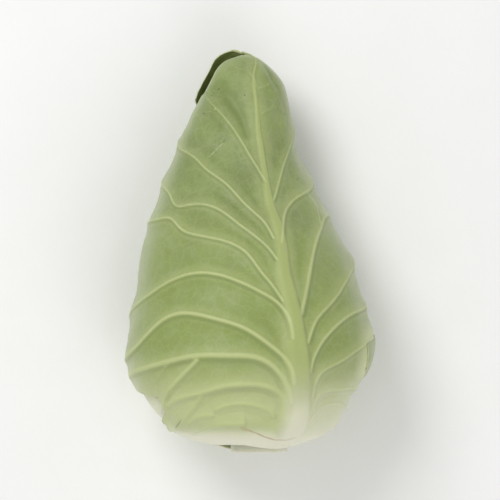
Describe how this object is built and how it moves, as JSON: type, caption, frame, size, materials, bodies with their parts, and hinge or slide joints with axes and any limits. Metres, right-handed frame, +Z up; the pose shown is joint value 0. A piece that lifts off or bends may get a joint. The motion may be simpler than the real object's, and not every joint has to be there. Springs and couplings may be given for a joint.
{
  "type": "pointed cabbage",
  "caption": "Whole pointed cabbage with ribbed wrapper leaves folded over a tapering heart and a cut stump, lying on its side.",
  "frame": {"origin": "on the surface that the cabbage lies on, under the middle of its bounding box", "axes": "+Z up, +Y along the head towards its pointed tip, +X to the right of the big front leaf, which faces up"},
  "size_m": [0.1404, 0.2236, 0.1198],
  "materials": {
    "front_leaf": "waxy pale green outer face of a cabbage leaf, soft sheen, paler veins and midrib",
    "back_leaf": "waxy green outer leaf, darker on its inner face",
    "left_leaf": "waxy light green leaf, whitish towards the stump",
    "right_leaf": "waxy light green leaf, whitish towards the stump",
    "inner_leaf": "waxy yellow-green inner leaf, whitish towards the stump",
    "heart": "tightly folded pale yellow-green inner leaves",
    "stump": "moist cut stalk, cream with a faint ring, browned at its rim"
  },
  "bodies": {
    "root": {"front_leaf": "front_leaf", "back_leaf": "back_leaf", "left_leaf": "left_leaf", "right_leaf": "right_leaf", "inner_leaf": "inner_leaf", "heart": "heart", "stump": "stump"}
  },
  "joints": []
}
